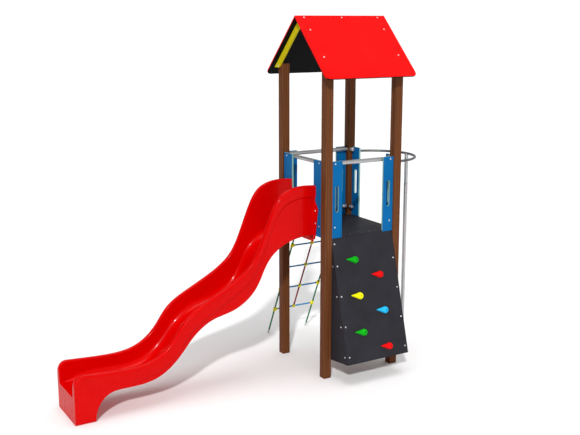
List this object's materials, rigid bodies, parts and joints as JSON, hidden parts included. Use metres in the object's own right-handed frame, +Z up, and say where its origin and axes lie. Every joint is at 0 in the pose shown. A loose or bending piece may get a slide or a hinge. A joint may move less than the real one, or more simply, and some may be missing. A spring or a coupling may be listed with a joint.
{
  "type": "wave slide play tower",
  "caption": "Roofed square play tower with a wave slide, sloping climbing wall, climbing net and fireman's pole, for a public playground.",
  "frame": {"origin": "middle of the whole unit's box, on the ground under it", "axes": "+Z up; -X the way the slide runs down; -Y the climbing wall's side; +X the pole's side"},
  "size_m": [3.9928, 1.9157, 3.7299],
  "materials": {
    "brown_timber": "stained",
    "dark_board": "fine texture",
    "pale_timber": "planed",
    "blue_board": "fine texture",
    "zinc_fasteners": "zinc plated",
    "cast_lugs": "cast",
    "galvanised_tube": "galvanised",
    "dark_steel": "galvanised, dull",
    "red_board": "smooth",
    "yellow_board": "smooth",
    "green_hold": "moulded",
    "red_hold": "moulded",
    "yellow_hold": "moulded",
    "blue_hold": "moulded",
    "red_moulding": "rotationally moulded, glossy",
    "green_rope": "braided",
    "dark_red_rope": "braided",
    "blue_rope": "braided",
    "yellow_clamp": "moulded"
  },
  "bodies": {
    "root": {"post_slide_wall": "brown_timber", "post_slide_net": "brown_timber", "post_pole_wall": "brown_timber", "post_pole_net": "brown_timber", "deck_board": "dark_board", "deck_bearer_wall": "pale_timber", "deck_bearer_net": "pale_timber", "deck_joists": "pale_timber", "bearer_plates": "zinc_fasteners", "deck_screws": "zinc_fasteners", "panel_slide_wall": "blue_board", "panel_slide_net": "blue_board", "panel_wall_slide": "blue_board", "panel_wall_pole": "blue_board", "panel_net_slide": "blue_board", "panel_net_pole": "blue_board", "panel_pole_wall": "blue_board", "panel_pole_net": "blue_board", "panel_bolts": "zinc_fasteners", "rail_lugs": "cast_lugs", "rail_studs": "zinc_fasteners", "rail_plugs": "galvanised_tube", "handrail_slide": "galvanised_tube", "handrail_wall": "galvanised_tube", "handrail_net": "galvanised_tube", "bow_rail": "dark_steel", "pole_lower": "galvanised_tube", "pole_upper": "galvanised_tube", "roof_sheet_wall": "red_board", "roof_sheet_net": "red_board", "rafter_slide_wall": "yellow_board", "rafter_slide_net": "yellow_board", "rafter_pole_wall": "yellow_board", "rafter_pole_net": "yellow_board", "ridge_angle": "zinc_fasteners", "roof_brackets": "zinc_fasteners", "roof_bolts": "zinc_fasteners", "coach_screws": "zinc_fasteners", "wall_board": "dark_board", "wall_cheek_slide": "dark_board", "wall_cheek_pole": "dark_board", "wall_battens": "pale_timber", "wall_bolts": "zinc_fasteners", "hold_green_high": "green_hold", "hold_red_high": "red_hold", "hold_yellow": "yellow_hold", "hold_blue": "blue_hold", "hold_green_low": "green_hold", "hold_red_low": "red_hold", "hold_bolts": "zinc_fasteners", "slide_chute": "red_moulding", "slide_bolts": "zinc_fasteners", "net_side_ropes": "green_rope", "net_middle_rope": "dark_red_rope", "net_rungs": "blue_rope", "net_clamps": "yellow_clamp", "net_ferrules": "zinc_fasteners", "net_eye_bolts": "zinc_fasteners"}
  },
  "joints": []
}
